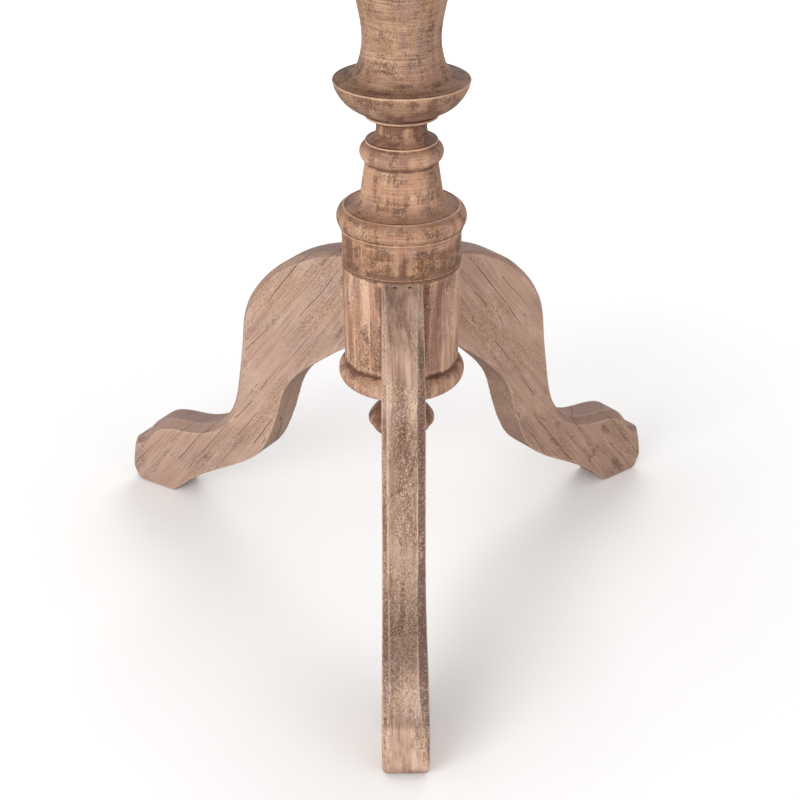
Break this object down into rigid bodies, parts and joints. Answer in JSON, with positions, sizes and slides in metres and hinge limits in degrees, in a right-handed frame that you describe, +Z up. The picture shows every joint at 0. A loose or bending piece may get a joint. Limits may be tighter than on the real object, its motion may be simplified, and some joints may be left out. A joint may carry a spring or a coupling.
{
  "type": "tilt top table",
  "caption": "Round plank table top that tilts upright on a turned vase pedestal with curved tripod legs, in weathered limed hardwood, with a brass slide bolt.",
  "frame": {"origin": "on the floor under the column's axis, which is the centre of the bounding box's bottom", "axes": "+Z up and normal to the table top; the front leg points along -Y; the pivot pins run along X"},
  "size_m": [0.8, 0.8, 0.75],
  "materials": {
    "leg_wood": "weathered, limed and waxed",
    "turned_wood": "weathered, limed and waxed",
    "frame_wood": "bare, weathered",
    "top_wood": "weathered, limed and waxed",
    "brass": "aged, dull",
    "iron": "dark, rusted"
  },
  "bodies": {
    "pedestal": {"leg_front": "leg_wood", "leg_right": "leg_wood", "leg_left": "leg_wood", "leg_hub": "turned_wood", "leg_brads": "iron", "drop_finial": "turned_wood", "column_middle": "turned_wood", "column_urn": "turned_wood", "tilt_block": "frame_wood", "tenon_wedge": "frame_wood", "pivot_pin_left": "brass", "pivot_pin_right": "brass", "strike_plate": "brass", "strike_screws": "brass"},
    "top": {"top_board_1": "top_wood", "top_board_2": "top_wood", "top_board_3": "top_wood", "top_board_4": "top_wood", "top_board_5": "top_wood", "top_board_6": "top_wood", "top_board_7": "top_wood", "board_splines": "frame_wood", "cleat_left": "frame_wood", "cleat_right": "frame_wood", "cleat_screws": "iron", "bolt_plate": "brass", "bolt_plate_screws": "brass"},
    "bolt": {"bolt_rod": "brass", "bolt_knob": "brass"}
  },
  "joints": [
    {"name": "top_tilt", "type": "hinge", "parent": "pedestal", "child": "top", "pos_m": [0, 0.071, 0.7107], "axis": [-1, 0, 0], "range_deg": [0, 90]},
    {"name": "bolt_slide", "type": "slide", "parent": "top", "child": "bolt", "axis": [0, 1, 0], "range_m": [0, 0.014]}
  ]
}
